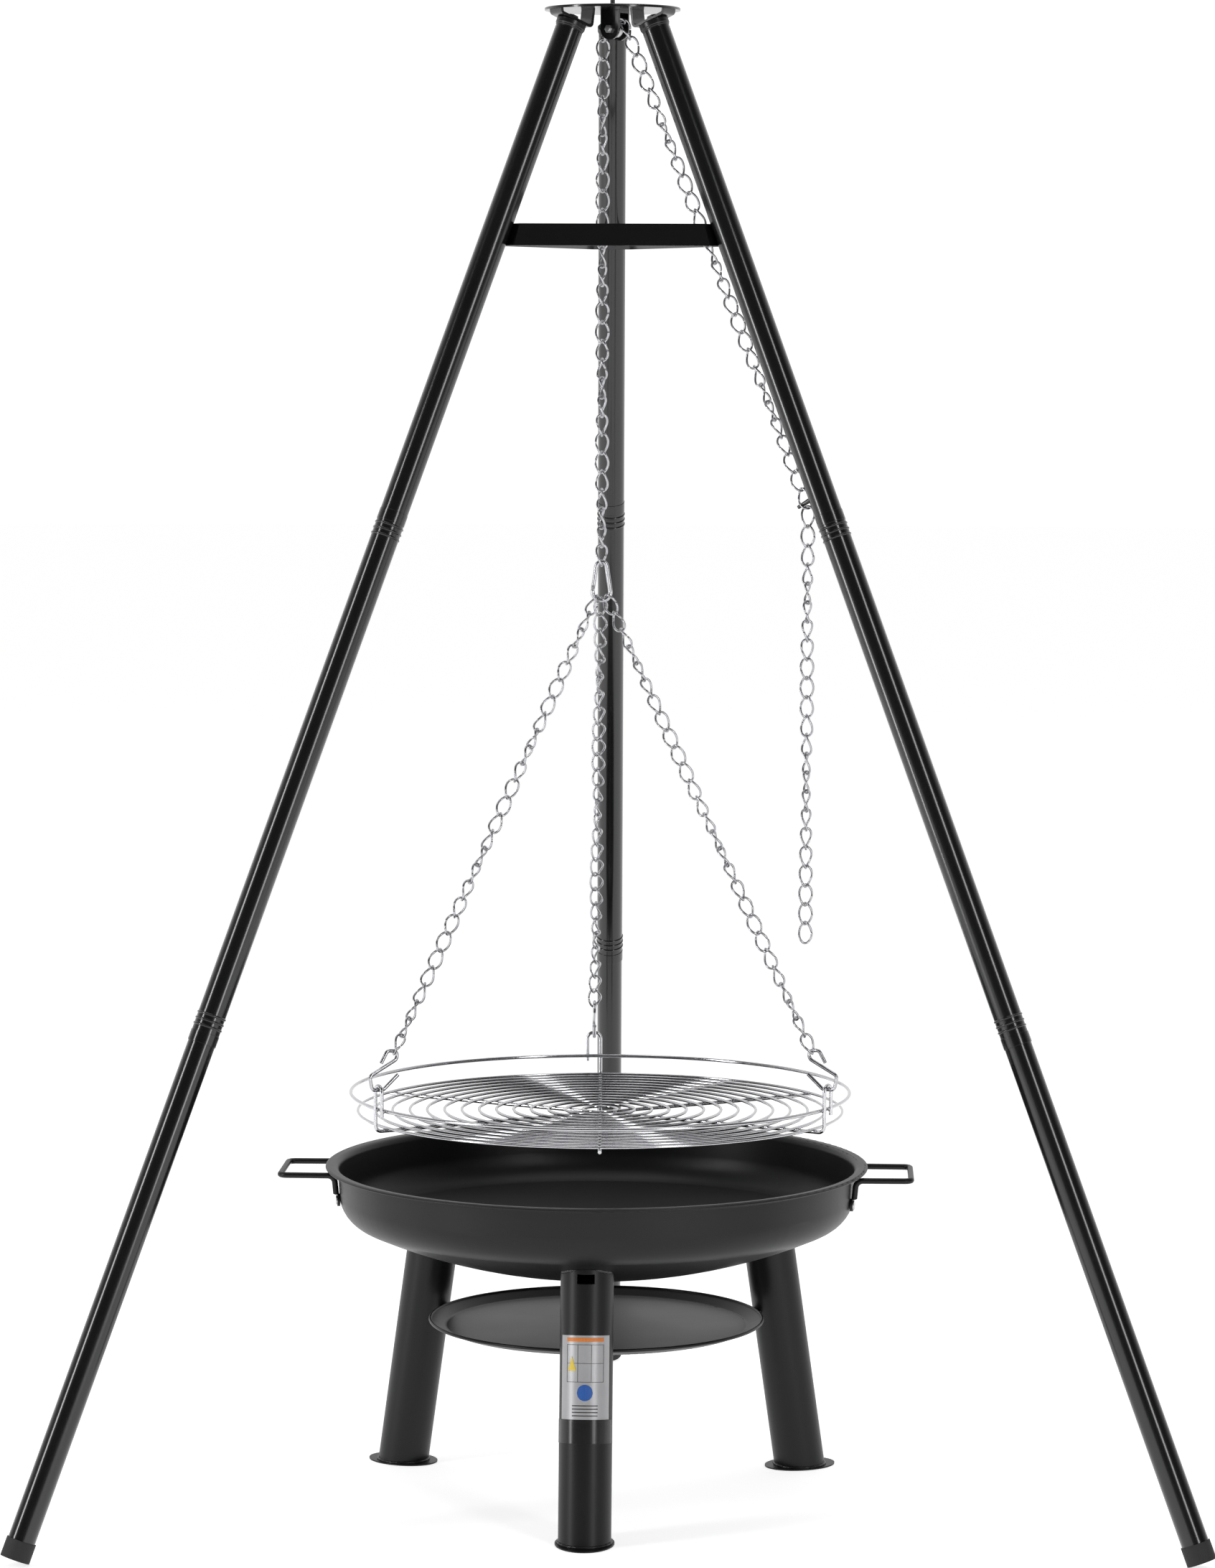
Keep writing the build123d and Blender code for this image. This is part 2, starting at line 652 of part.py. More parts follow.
with BuildPart() as carabiner_body:
    with BuildLine(snap_plane) as snap_line:
        Line(snap_point(-1, GATE_NOSE), snap_point(-1, 1))
        CenterArc((0, SNAP_TOP_C), SNAP_TOP_R, 180 - SNAP_LEAN, 2 * SNAP_LEAN - 180)
        Line(snap_point(1, 1), snap_point(1, 0))
        CenterArc((0, SNAP_BOTTOM_C), SNAP_BOTTOM_R, SNAP_LEAN, -180 - 2 * SNAP_LEAN)
    with BuildSketch(Plane(origin=snap_line.line @ 0, z_dir=snap_line.line % 0)):
        Circle(SNAP_WIRE / 2)
    sweep()
    with BuildSketch(gate_plane):
        with Locations((-SNAP_SHANK / 2 - PIN_CLEAR, 0)):
            Rectangle(SNAP_SHANK, 2 * TONGUE_R)
        with Locations((-PIN_CLEAR / 2, 0)):
            Rectangle(PIN_CLEAR, 2 * TONGUE_R)
        Circle(TONGUE_R)
        Circle(PIN_R, mode=Mode.SUBTRACT)
    extrude(amount=TONGUE_HALF, both=True)

carabiner_body.part.label = "carabiner_body"
export_step(carabiner_body.part, "parts/carabiner_body.step")

with BuildPart() as carabiner_gate:
    with BuildSketch(Plane(origin=hinge_point, z_dir=gate_up)):
        Circle(GATE_R)
    extrude(amount=GATE_TOP - 0.5)
    with BuildSketch(gate_plane):
        Circle(GATE_R)
    extrude(amount=GATE_R, both=True)
    with BuildSketch(gate_plane):
        Circle(GATE_R + 0.1)
        with Locations((-GATE_R, 0)):
            Rectangle(2 * GATE_R, 2 * GATE_R + 0.2)
    extrude(amount=TONGUE_HALF + 0.35, both=True, mode=Mode.SUBTRACT)
    with BuildSketch(gate_plane):
        Circle(PIN_R + 0.3)
    extrude(amount=2 * GATE_R, both=True, mode=Mode.SUBTRACT)

carabiner_gate.part.label = "carabiner_gate"
export_step(carabiner_gate.part, "parts/carabiner_gate.step")

with BuildPart() as gate_pin:
    with BuildSketch(gate_plane):
        Circle(PIN_R)
    extrude(amount=GATE_R + 0.4, both=True)

gate_pin.part.label = "gate_pin"
export_step(gate_pin.part, "parts/gate_pin.step")

# ---- S-hooks and slings ----
HOOK_SIDE = degrees(atan2(HAIRPIN_WIDTH / 2, HAIRPIN_R))
sling_ends = {}

for leg, azimuth in LEG_NAMES.items():
    reach = Vector(0, 0, S_HOOK_JOINT[1]) + polar(HANG_AT, azimuth + HOOK_SIDE, S_HOOK_JOINT[0], 0)
    bend_x = SLING_PLACES[leg]
    bend_z = SNAP_BOTTOM_C - (SNAP_BOTTOM_R ** 2 - bend_x ** 2) ** 0.5
    bend = Vector(HANG_AT[0] + bend_x, HANG_AT[1], bend_z)
    pull = (reach - bend).normalized()
    start = bend - pull * ((SNAP_WIRE + WIRE) / 2 + 0.15 - (WIRE + PLAY) / 2)
    rod = Vector(SNAP_BOTTOM_C - bend_z, 0, bend_x)
    rod = (rod - pull * rod.dot(pull)).normalized()
    across = pull.cross(rod)
    outward = polar((0, 0), azimuth + HOOK_SIDE, 1, 0)
    lean = degrees(atan2(outward.dot(across), outward.dot(rod)))
    drift = (lean + 180) % 180 - 90
    sling_ends[leg] = (start, reach, rod, drift)

S_HOOK_PATH = [
    (277.8, 498.5),
    (269.8, 512),
    (256.3, 510.5),
    (259.3, 501.5),
    (291.8, 485.5),
    (288.8, 470),
    (274.8, 469.8),
    (256.8, 485),
]

for leg, azimuth in LEG_NAMES.items():
    with BuildPart() as s_hook:
        with BuildLine(upright(HANG_AT, azimuth + HOOK_SIDE)) as hook_line:
            FilletPolyline(*S_HOOK_PATH, radius=5)
        with BuildSketch(Plane(origin=hook_line.line @ 0, z_dir=hook_line.line % 0)):
            Circle(ROD_WIRE / 2)
        sweep()
    s_hook.part.label = "s_hook_" + leg
    export_step(s_hook.part, "parts/s_hook_" + leg + ".step")

    start, end, facing, drift = sling_ends[leg]

    def sling_turn(number):
        return -45 + (540 + drift) * number / (SLING_LINKS - 1)

    chain_runs["sling_" + leg] = link_places(start, end, SLING_LINKS, facing, sling_turn)

for name, places in chain_runs.items():
    with BuildPart() as chain:
        for place in places:
            with Locations(place):
                add(link.part)
    chain.part.label = name
    export_step(chain.part, "parts/" + name + ".step")

# ---- chain hook: a tapered peg welded to the inner side of the right leg ----
run_down = (hook_joint - over_right).normalized()
peg_at = hook_joint - run_down * 5.7
peg_in = -wheel_out * cos(radians(HOOK_DIP)) - Vector(0, 0, 1) * sin(radians(HOOK_DIP))

with BuildPart() as chain_hook:
    with BuildSketch(Plane(origin=peg_at - peg_in * 8, z_dir=peg_in)):
        Circle(2.9)
    extrude(amount=HOOK_LENGTH, taper=2.5)
    with BuildSketch(leg_cross(PULLEY_AZIMUTH, UPPER_SEAM - 60)):
        Circle(UPPER_R)
    extrude(amount=60, mode=Mode.SUBTRACT)

chain_hook.part.label = "chain_hook"
export_step(chain_hook.part, "parts/chain_hook.step")

# ---- grate: rings welded on three crossing rods, each rod turned up into a hairpin eye ----
with BuildPart() as grate_rings:
    for number in range(1, RING_COUNT + 1):
        with Locations((HANG_AT[0], HANG_AT[1], RING_Z)):
            Torus(number * RING_PITCH, RING_WIRE / 2)

grate_rings.part.label = "grate_rings"
export_step(grate_rings.part, "parts/grate_rings.step")

with BuildPart() as grate_rim:
    with Locations((HANG_AT[0], HANG_AT[1], RIM_Z)):
        Torus(RIM_R, ROD_WIRE / 2)

grate_rim.part.label = "grate_rim"
export_step(grate_rim.part, "parts/grate_rim.step")

with BuildPart() as grate_rods:
    for azimuth in LEG_NAMES.values():
        away = Vector(cos(radians(azimuth)), sin(radians(azimuth)), 0)
        side = Vector(-away.Y, away.X, 0) * HAIRPIN_WIDTH
        low = Vector(HANG_AT[0], HANG_AT[1], ROD_Z)
        high = Vector(HANG_AT[0], HANG_AT[1], HAIRPIN_TOP_Z) + away * HAIRPIN_R
        with BuildLine() as rod_line:
            FilletPolyline(
                low - away * ROD_PLAIN_END,
                low + away * HAIRPIN_R,
                high,
                high + side,
                high + side - Vector(0, 0, HAIRPIN_TOP_Z - HAIRPIN_FREE_END),
                radius=7.2,
            )
        with BuildSketch(Plane(origin=rod_line.line @ 0, z_dir=rod_line.line % 0)):
            Circle(ROD_WIRE / 2)
        sweep()

grate_rods.part.label = "grate_rods"
export_step(grate_rods.part, "parts/grate_rods.step")

# ---- fire bowl ----
RIVET_SIDE = degrees(atan2(HANDLE_HALF, 280.5))
HANDLES = {"left": 180 + BOWL_TURN, "right": BOWL_TURN}
bowl_plane = upright(BOWL_AT, 0)
bowl_axis = Axis((BOWL_AT[0], BOWL_AT[1], 0), (0, 0, 1))
WALL_TOP_Z = LIP_Z - SHEET / 2 - LIP_ROUND + 0.3


def bowl_chain(last):
    """The mid-line of the bowl sheet from its centre outward; last tells if the lip is drawn."""
    dome = JernArc((0, BOWL_BASE_Z), (1, 0), DOME_R, DOME_ANGLE)
    knuckle = JernArc(dome @ 1, dome % 1, KNUCKLE_R, 90 - FLARE - DOME_ANGLE)
    rise = WALL_TOP_Z - (knuckle @ 1).Y
    wall = Line(knuckle @ 1, (knuckle @ 1) + (knuckle % 1) * (rise / cos(radians(FLARE))))
    if last:
        bend = JernArc(wall @ 1, wall % 1, LIP_ROUND, FLARE + LIP_FLAT - 90)
        flat = Line(bend @ 1, (bend @ 1) + (bend % 1) * LIP_WIDTH)
        JernArc(flat @ 1, flat % 1, LIP_DROOP_R, -LIP_DROOP)
    return wall


with BuildPart() as fire_bowl:
    with BuildSketch(bowl_plane):
        with BuildLine():
            bowl_chain(True)
            offset(amount=SHEET / 2, side=Side.BOTH)
        make_face()
        with Locations((-50, BOWL_BASE_Z)):
            Rectangle(100, 100, mode=Mode.SUBTRACT)
    revolve(axis=bowl_axis)
    for azimuth in HANDLES.values():
        for sign in (-1, 1):
            with BuildSketch(facing_out(BOWL_AT, azimuth + sign * RIVET_SIDE, BOWL_WALL_R - 10)):
                with Locations((0, RIVET_Z)):
                    Circle(RIVET_R)
            extrude(amount=20, mode=Mode.SUBTRACT)

fire_bowl.part.label = "fire_bowl"
export_step(fire_bowl.part, "parts/fire_bowl.step")

with BuildPart() as bowl_filled:
    with BuildSketch(bowl_plane):
        with BuildLine():
            wall = bowl_chain(False)
            Line(wall @ 1, (0, (wall @ 1).Y))
            Line((0, (wall @ 1).Y), (0, BOWL_BASE_Z))
        make_face()
        offset(amount=SHEET / 2)
        with Locations((-50, BOWL_BASE_Z)):
            Rectangle(100, 300, mode=Mode.SUBTRACT)
    revolve(axis=bowl_axis)

for leg, direction in BOWL_LEG_NAMES.items():
    azimuth = direction + BOWL_TURN
    with BuildPart() as bowl_leg:
        with BuildSketch(bowl_leg_cross(azimuth, -20)):
            Circle(BOWL_LEG_R)
            Circle(BOWL_LEG_R - 2, mode=Mode.SUBTRACT)
        extrude(amount=360)
        with BuildSketch(Plane.XY.offset(FOOT_PLATE[2])):
            with Locations(polar(BOWL_AT, azimuth, BOWL_LEG_FLOOR, 0)):
                Circle(80)
        extrude(amount=-60, mode=Mode.SUBTRACT)
        add(bowl_filled.part, mode=Mode.SUBTRACT)
        with BuildSketch(facing_out(BOWL_AT, azimuth, BOWL_LEG_FLOOR - NOTCH_Z * tan(radians(BOWL_LEG_TILT)))):
            with Locations((0, NOTCH_Z)):
                Rectangle(18.5, 10)
        extrude(amount=BOWL_LEG_R + 5, mode=Mode.SUBTRACT)
    leg_solid = bowl_leg.part.solids().sort_by(SortBy.VOLUME)[-1]
    leg_solid.label = "bowl_leg_" + leg
    export_step(leg_solid, "parts/bowl_leg_" + leg + ".step")

with BuildPart() as bowl_foot_plates:
    for direction in BOWL_LEG_NAMES.values():
        azimuth = direction + BOWL_TURN
        spot = polar(BOWL_AT, azimuth, BOWL_LEG_FLOOR, 0)
        with BuildSketch(Plane(origin=spot, x_dir=polar((0, 0), azimuth, 1, 0), z_dir=(0, 0, 1))):
            Ellipse(FOOT_PLATE[0] / 2, FOOT_PLATE[1] / 2)
        extrude(amount=FOOT_PLATE[2])

bowl_foot_plates.part.label = "bowl_foot_plates"
export_step(bowl_foot_plates.part, "parts/bowl_foot_plates.step")

# ---- blank label on the front bowl leg ----
label_azimuth = BOWL_LEG_NAMES["front"] + BOWL_TURN
with BuildPart() as leg_label:
    with BuildSketch(bowl_leg_cross(label_azimuth, LABEL_LOW / cos(radians(BOWL_LEG_TILT)))):
        Circle(BOWL_LEG_R + LABEL_THICK)
        Circle(BOWL_LEG_R, mode=Mode.SUBTRACT)
        with Locations((0, -BOWL_LEG_R / 2)):
            Rectangle(4 * BOWL_LEG_R, 2 * BOWL_LEG_R, mode=Mode.SUBTRACT)
    extrude(amount=(LABEL_HIGH - LABEL_LOW) / cos(radians(BOWL_LEG_TILT)))

leg_label.part.label = "leg_label"
export_step(leg_label.part, "parts/leg_label.step")

# ---- handles and their rivets ----

for name, azimuth in HANDLES.items():
    across = Vector(-sin(radians(azimuth)), cos(radians(azimuth)), 0)
    grip = polar(BOWL_AT, azimuth, HANDLE_REACH, HANDLE_Z)
    points = []
    for sign in (-1, 1):
        eyelet = polar(BOWL_AT, azimuth + sign * RIVET_SIDE, BOWL_WALL_R + HANDLE_WIRE / 2 + 0.8, RIVET_Z + 3)
        knee = polar(BOWL_AT, azimuth + sign * RIVET_SIDE, BOWL_WALL_R + HANDLE_WIRE / 2 + 3.2, HANDLE_Z)
        corner = grip + across * (sign * HANDLE_HALF)
        points += [eyelet, knee, corner] if sign < 0 else [corner, knee, eyelet]
    with BuildPart() as handle:
        with BuildLine() as handle_line:
            FilletPolyline(*points, radius=8)
        with BuildSketch(Plane(origin=handle_line.line @ 0, z_dir=handle_line.line % 0)):
            Circle(HANDLE_WIRE / 2)
        sweep()
        for sign in (-1, 1):
            with BuildSketch(facing_out(BOWL_AT, azimuth + sign * RIVET_SIDE, BOWL_WALL_R + 0.1)):
                with Locations((0, RIVET_Z)):
                    Circle(EYELET_R)
            extrude(amount=EYELET_THICK)
            with BuildSketch(facing_out(BOWL_AT, azimuth + sign * RIVET_SIDE, BOWL_WALL_R - 4)):
                with Locations((0, RIVET_Z)):
                    Circle(RIVET_R)
            extrude(amount=14, mode=Mode.SUBTRACT)
            with BuildSketch(facing_out(BOWL_AT, azimuth + sign * RIVET_SIDE, BOWL_WALL_R + EYELET_THICK + 0.1)):
                with Locations((0, RIVET_Z)):
                    Circle(EYELET_R)
            extrude(amount=8, mode=Mode.SUBTRACT)
        add(bowl_filled.part, mode=Mode.SUBTRACT)
    handle.part.label = "handle_" + name
    export_step(handle.part, "parts/handle_" + name + ".step")

RIVET_OUT = BOWL_WALL_R + EYELET_THICK + 0.1
RIVET_IN = BOWL_WALL_R - SHEET - 1.4

with BuildPart() as handle_rivets:
    for azimuth in HANDLES.values():
        for sign in (-1, 1):
            spoke = azimuth + sign * RIVET_SIDE
            with BuildSketch(facing_out(BOWL_AT, spoke, RIVET_OUT)):
                with Locations((0, RIVET_Z)):
                    Circle(2 * RIVET_R)
            extrude(amount=1.6)
            with BuildSketch(facing_out(BOWL_AT, spoke, RIVET_IN)):
                with Locations((0, RIVET_Z)):
                    Circle(RIVET_R)
            extrude(amount=RIVET_OUT - RIVET_IN)
            with BuildSketch(facing_out(BOWL_AT, spoke, RIVET_IN)):
                with Locations((0, RIVET_Z)):
                    Circle(2 * RIVET_R)
            extrude(amount=-1.6)

handle_rivets.part.label = "handle_rivets"
export_step(handle_rivets.part, "parts/handle_rivets.step")

# ---- ash tray under the bowl, resting on a tab from each leg ----
with BuildPart() as ash_tray:
    with BuildSketch(bowl_plane):
        with BuildLine():
            FilletPolyline((0, TRAY_FLOOR_Z), (TRAY_FLOOR_R, TRAY_FLOOR_Z), (TRAY_RIM_R, TRAY_RIM_Z), radius=8)
            offset(amount=TRAY_SHEET / 2, side=Side.BOTH)
        make_face()
        with Locations((TRAY_RIM_R, TRAY_RIM_Z)):
            Circle(1.8)
        with Locations((-50, TRAY_FLOOR_Z)):
            Rectangle(100, 100, mode=Mode.SUBTRACT)
    revolve(axis=bowl_axis)

ash_tray.part.label = "ash_tray"
export_step(ash_tray.part, "parts/ash_tray.step")

TAB_TOP = TRAY_FLOOR_Z - TRAY_SHEET / 2

with BuildPart() as tray_tabs:
    for direction in BOWL_LEG_NAMES.values():
        azimuth = direction + BOWL_TURN
        spot = polar(BOWL_AT, azimuth, (TAB_INNER_R + TAB_OUTER_R) / 2, TAB_TOP)
        with BuildSketch(Plane(origin=spot, x_dir=polar((0, 0), azimuth, 1, 0), z_dir=(0, 0, 1))):
            Rectangle(TAB_OUTER_R - TAB_INNER_R, 20)
        extrude(amount=-3)
        with BuildSketch(bowl_leg_cross(azimuth, 150)):
            Circle(BOWL_LEG_R)
        extrude(amount=70, mode=Mode.SUBTRACT)

tray_tabs.part.label = "tray_tabs"
export_step(tray_tabs.part, "parts/tray_tabs.step")
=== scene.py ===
"""Looks for the campfire tripod grate: materials, welds, chain dressing, label, light and camera.

Everything is in metres in the frame that the CAD shares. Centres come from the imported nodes' boxes;
the sizes below repeat the model's driving dimensions.
"""

import json
from math import cos, pi, radians, sin, sqrt

import bmesh
import bpy
from mathutils import Matrix, Vector


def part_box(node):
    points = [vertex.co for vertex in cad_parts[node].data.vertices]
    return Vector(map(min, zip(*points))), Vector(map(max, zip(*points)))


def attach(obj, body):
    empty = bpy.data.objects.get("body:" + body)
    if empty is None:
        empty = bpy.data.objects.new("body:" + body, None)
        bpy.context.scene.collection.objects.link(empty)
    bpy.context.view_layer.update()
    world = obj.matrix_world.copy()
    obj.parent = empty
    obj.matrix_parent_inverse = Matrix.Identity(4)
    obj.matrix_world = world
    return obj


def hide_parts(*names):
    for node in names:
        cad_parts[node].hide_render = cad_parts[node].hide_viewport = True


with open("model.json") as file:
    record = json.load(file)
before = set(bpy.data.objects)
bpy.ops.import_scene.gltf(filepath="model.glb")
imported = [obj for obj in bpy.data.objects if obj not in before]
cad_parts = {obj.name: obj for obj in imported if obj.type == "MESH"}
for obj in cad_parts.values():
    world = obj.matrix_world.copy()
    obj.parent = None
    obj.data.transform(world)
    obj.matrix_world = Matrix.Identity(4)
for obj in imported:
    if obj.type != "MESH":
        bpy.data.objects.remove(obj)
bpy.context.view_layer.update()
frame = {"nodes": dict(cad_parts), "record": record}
nodes = frame["nodes"]

# tripod and bowl: sizes in metres, azimuths in degrees
LEG_AZIMUTHS = {"rear": 90, "left": 210, "right": 330}
BOWL_TURN = -2.5
BOWL_LEG_AZIMUTHS = {"front": 270 + BOWL_TURN, "left": 150 + BOWL_TURN, "right": 30 + BOWL_TURN}
BOWL_LEG_R = 0.0285
BOWL_LEG_FLOOR = 0.262
BOWL_LEG_TILT = radians(9.2)
BOWL_LEG_LENGTH = 0.29
BOWL_DOME_R = 0.645
BOWL_BOTTOM_Z = 0.2445
FOOT_PLATE_TOP = 0.0015

# grate
RING_PITCH = 0.0192
RING_COUNT = 14
RING_Z = 0.427
RING_WIRE_R = 0.0016
RIM_Z = 0.4473
RIM_R = 0.2766
HAIRPIN_R = 0.2807
HAIRPIN_WIDTH = 0.015

# chain: one link, then how many links there are and where each chain starts and ends
PITCH = 0.0204
WIRE_R = 0.00125
LINK_HALF = 0.01165
LINK_HALF_WIDTH = 0.007
LINK_BULGE = 0.1
LINK_SEAM = 0.004
SEAM_WIRE = 0.8
END_TWIST = 45
LINK_STEPS = 40
WIRE_SIDES = 10
HOIST_LINKS = 14
TAIL_END_LINKS = 9
TAIL_DROP = 0.0002
RUN_LINKS = 28
SLING_LINKS = 27
CARABINER_JOINT_Z = 1.032
OVER_LEFT = (-0.007, 1.6231)
OVER_RIGHT = (0.0133, 1.6233)
HOOK_JOINT = (0.244, 1.0995)
FIRST_HOIST_TURN = 45
FIRST_OVER_TURN = 110
SECOND_OVER_TURN = 4
S_HOOK_JOINT = (0.2615, 0.5088)
HOOK_SIDE = 1.53

# the link numbers at which each chain is seen edge-on
RUN_EDGE_ON = (-1.5, 6, 12.9, 21.4, 30.5)
TAIL_EDGE_ON = (-2.5, 4, 13.6, 28)

# each sling: where its first joint is beside the carabiner, how high, and where it is seen edge-on
SLINGS = {
    "rear": (-0.0007724, 0.994388, (-4, 4.7, 13.4, 22.1, 30.8)),
    "left": (-0.005434, 0.996746, (-5.3, 1.6, 8.5, 15, 25, 31.5)),
    "right": (0.005403, 0.996746, (-4, 3, 14.5, 24, 31)),
}


def middle(node):
    """The middle of a CAD node's box."""
    low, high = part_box(node)
    return (Vector(low) + Vector(high)) / 2


tripod = Vector((middle("top_disc").x, middle("top_disc").y, 0))
hang = Vector((middle("grate_rim").x, middle("grate_rim").y, 0))
bowl = Vector((middle("fire_bowl").x, middle("fire_bowl").y, 0))


def spoke(azimuth):
    return Vector((cos(radians(azimuth)), sin(radians(azimuth)), 0))


# ---- materials ----
GRAIN_DEPTH = 0.0004
EDGE_ROUNDING = 0.0007
COAT_ROUGHNESS = 0.08


def new_material(name):
    """A material with its shader, and a function that adds a linked node."""
    material = bpy.data.materials.new(name)
    material.use_nodes = True
    tree = material.node_tree
    shader = tree.nodes["Principled BSDF"]

    def add(kind, **values):
        node = tree.nodes.new(kind)
        for key, value in values.items():
            if hasattr(node, key):
                setattr(node, key, value)
            else:
                node.inputs[key.replace("_", " ")].default_value = value
        return node

    return material, shader, add, tree.links.new


def coated(
    name, color, roughness, spread, grain, bump, coat=0.0, metallic=0.0, patches=14.0, tint=0.25, shine=0.5
):
    """A finish with soft patches in its gloss and colour, and a fine grain in its surface.

    spread is how far the roughness strays, grain and patches are noise scales, tint is how far the
    colour strays, and shine is the specular level.
    """
    material, shader, add, link = new_material(name)
    place = add("ShaderNodeTexCoord")
    broad = add("ShaderNodeTexNoise", Scale=patches, Detail=3.0, Roughness=0.55)
    fine = add("ShaderNodeTexNoise", Scale=grain, Detail=2.0, Roughness=0.5)
    rough = add("ShaderNodeMapRange")
    rough.inputs["To Min"].default_value = roughness - spread
    rough.inputs["To Max"].default_value = roughness + spread
    shade = add("ShaderNodeMapRange")
    shade.inputs["To Min"].default_value = 1 - tint
    shade.inputs["To Max"].default_value = 1 + tint
    mix = add("ShaderNodeVectorMath", operation="SCALE")
    mix.inputs[0].default_value = color
    relief = add("ShaderNodeBump", Strength=bump, Distance=GRAIN_DEPTH)
    edge = add("ShaderNodeBevel", samples=4)
    edge.inputs["Radius"].default_value = EDGE_ROUNDING
    link(place.outputs["Object"], broad.inputs["Vector"])
    link(place.outputs["Object"], fine.inputs["Vector"])
    link(broad.outputs["Fac"], rough.inputs["Value"])
    link(broad.outputs["Fac"], shade.inputs["Value"])
    link(shade.outputs["Result"], mix.inputs["Scale"])
    link(fine.outputs["Fac"], relief.inputs["Height"])
    link(edge.outputs["Normal"], relief.inputs["Normal"])
    link(rough.outputs["Result"], shader.inputs["Roughness"])
    link(mix.outputs["Vector"], shader.inputs["Base Color"])
    link(relief.outputs["Normal"], shader.inputs["Normal"])
    shader.inputs["Metallic"].default_value = metallic
    shader.inputs["Specular IOR Level"].default_value = shine
    shader.inputs["Coat Weight"].default_value = coat
    shader.inputs["Coat Roughness"].default_value = COAT_ROUGHNESS
    return material


materials = {}


def finish(name, color, *surface, **more):
    """Makes one finish and keeps it under its name."""
    materials[name] = coated(name, color, *surface, **more)


# the record's finishes: colour, roughness, spread, grain, bump
finish("gloss_black", (0.005, 0.005, 0.0055), 0.2, 0.02, 350, 0.015, coat=0.4)
finish("black_plug", (0.008, 0.008, 0.0085), 0.28, 0.05, 1400, 0.1)
finish("satin_black", (0.006, 0.006, 0.0064), 0.38, 0.04, 500, 0.05, patches=9, shine=0.3)
finish("zinc_chain", (0.46, 0.46, 0.48), 0.24, 0.08, 1800, 0.2, metallic=1, patches=220, tint=0.18)
finish("bright_hooks", (0.5, 0.5, 0.52), 0.22, 0.07, 1500, 0.18, metallic=1, patches=150)
finish("chromed_grate", (0.6, 0.6, 0.62), 0.12, 0.04, 1200, 0.1, metallic=1, patches=60, tint=0.12)
finish("bright_steel", (0.6, 0.6, 0.6), 0.3, 0.08, 1500, 0.2, metallic=1, patches=120)
finish("dark_bolts", (0.05, 0.05, 0.055), 0.34, 0.06, 1500, 0.15, metallic=0.6, patches=120)
finish("rubber", (0.016, 0.016, 0.016), 0.72, 0.08, 900, 0.5, patches=60)
finish("label", (0.4, 0.4, 0.41), 0.36, 0.04, 1200, 0.05, metallic=0.3, patches=40, tint=0.08)

# welds and the label's print
finish("weld", (0.01, 0.01, 0.011), 0.3, 0.1, 700, 0.4, patches=90)
finish("bright_weld", (0.5, 0.5, 0.52), 0.34, 0.1, 900, 0.4, metallic=1, patches=200)
finish("label_orange", (0.68, 0.2, 0.03), 0.4, 0.04, 1200, 0.05, tint=0.08)
finish("label_yellow", (0.75, 0.55, 0.04), 0.4, 0.04, 1200, 0.05, tint=0.08)
finish("label_blue", (0.02, 0.1, 0.38), 0.4, 0.04, 1200, 0.05, tint=0.08)
finish("label_ink", (0.03, 0.03, 0.03), 0.4, 0.04, 1200, 0.05, tint=0.08)
finish("label_black", (0.008, 0.008, 0.008), 0.22, 0.04, 1200, 0.05, tint=0.08)

slots = {part["node"]: part["material_slot"] for part in frame["record"]["subparts"]}


def dress(obj, material):
    """Puts one material on a whole object."""
    obj.data.materials.clear()
    obj.data.materials.append(material)


for name, obj in nodes.items():
    dress(obj, materials[slots[name]])


# ---- new pieces ----
def new_piece(name, mesh, body, material, replaced=()):
    """A named mesh object riding on a body, with its finish."""
    obj = bpy.data.objects.new(name, mesh)
    bpy.context.scene.collection.objects.link(obj)
    dress(obj, material)
    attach(obj, body)
    if replaced:
        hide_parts(*replaced)
    return obj


def finish_mesh(work, name, smooth=True):
    """The mesh of a bmesh, with its faces outward."""
    bmesh.ops.recalc_face_normals(work, faces=work.faces)
    for face in work.faces:
        face.smooth = smooth
    mesh = bpy.data.meshes.new(name)
    work.to_mesh(mesh)
    work.free()
    return mesh


# ---- chains: open ovals of wire, each twisted a quarter turn from end to end ----
def oval_point(share, spin):
    """A point of a link's centre line; share runs once round the link."""
    angle = 2 * pi * share
    along = LINK_HALF * sin(angle)
    across = LINK_HALF_WIDTH * cos(angle) * (1 + LINK_BULGE * sin(angle) ** 2)
    turn = spin - radians(END_TWIST) * along / LINK_HALF
    return Vector((across * cos(turn), across * sin(turn), along))


def add_link(work, centre, along, flat, spin, radius):
    """One link: a wire that ends in a butt joint halfway up one side."""
    side = along.cross(flat)
    shares = [LINK_SEAM + (1 - 2 * LINK_SEAM) * step / LINK_STEPS for step in range(LINK_STEPS + 1)]
    rings = []
    for number, share in enumerate(shares):
        here = oval_point(share, spin)
        tangent = (oval_point(share + 0.002, spin) - oval_point(share - 0.002, spin)).normalized()
        out = (here - Vector((0, 0, here.z))).normalized()
        out = (out - tangent * out.dot(tangent)).normalized()
        other = tangent.cross(out)
        ends = number in (0, LINK_STEPS)
        size = radius * (SEAM_WIRE if ends else 1)
        ring = []
        for step in range(WIRE_SIDES):
            angle = 2 * pi * step / WIRE_SIDES
            spot = here + size * (cos(angle) * out + sin(angle) * other)
            ring.append(work.verts.new(centre + side * spot.x + flat * -spot.y + along * spot.z))
        rings.append(ring)
    for low, high in zip(rings, rings[1:]):
        for step in range(WIRE_SIDES):
            after = (step + 1) % WIRE_SIDES
            work.faces.new((low[step], low[after], high[after], high[step]))
    work.faces.new(list(reversed(rings[0])))
    work.faces.new(rings[-1])


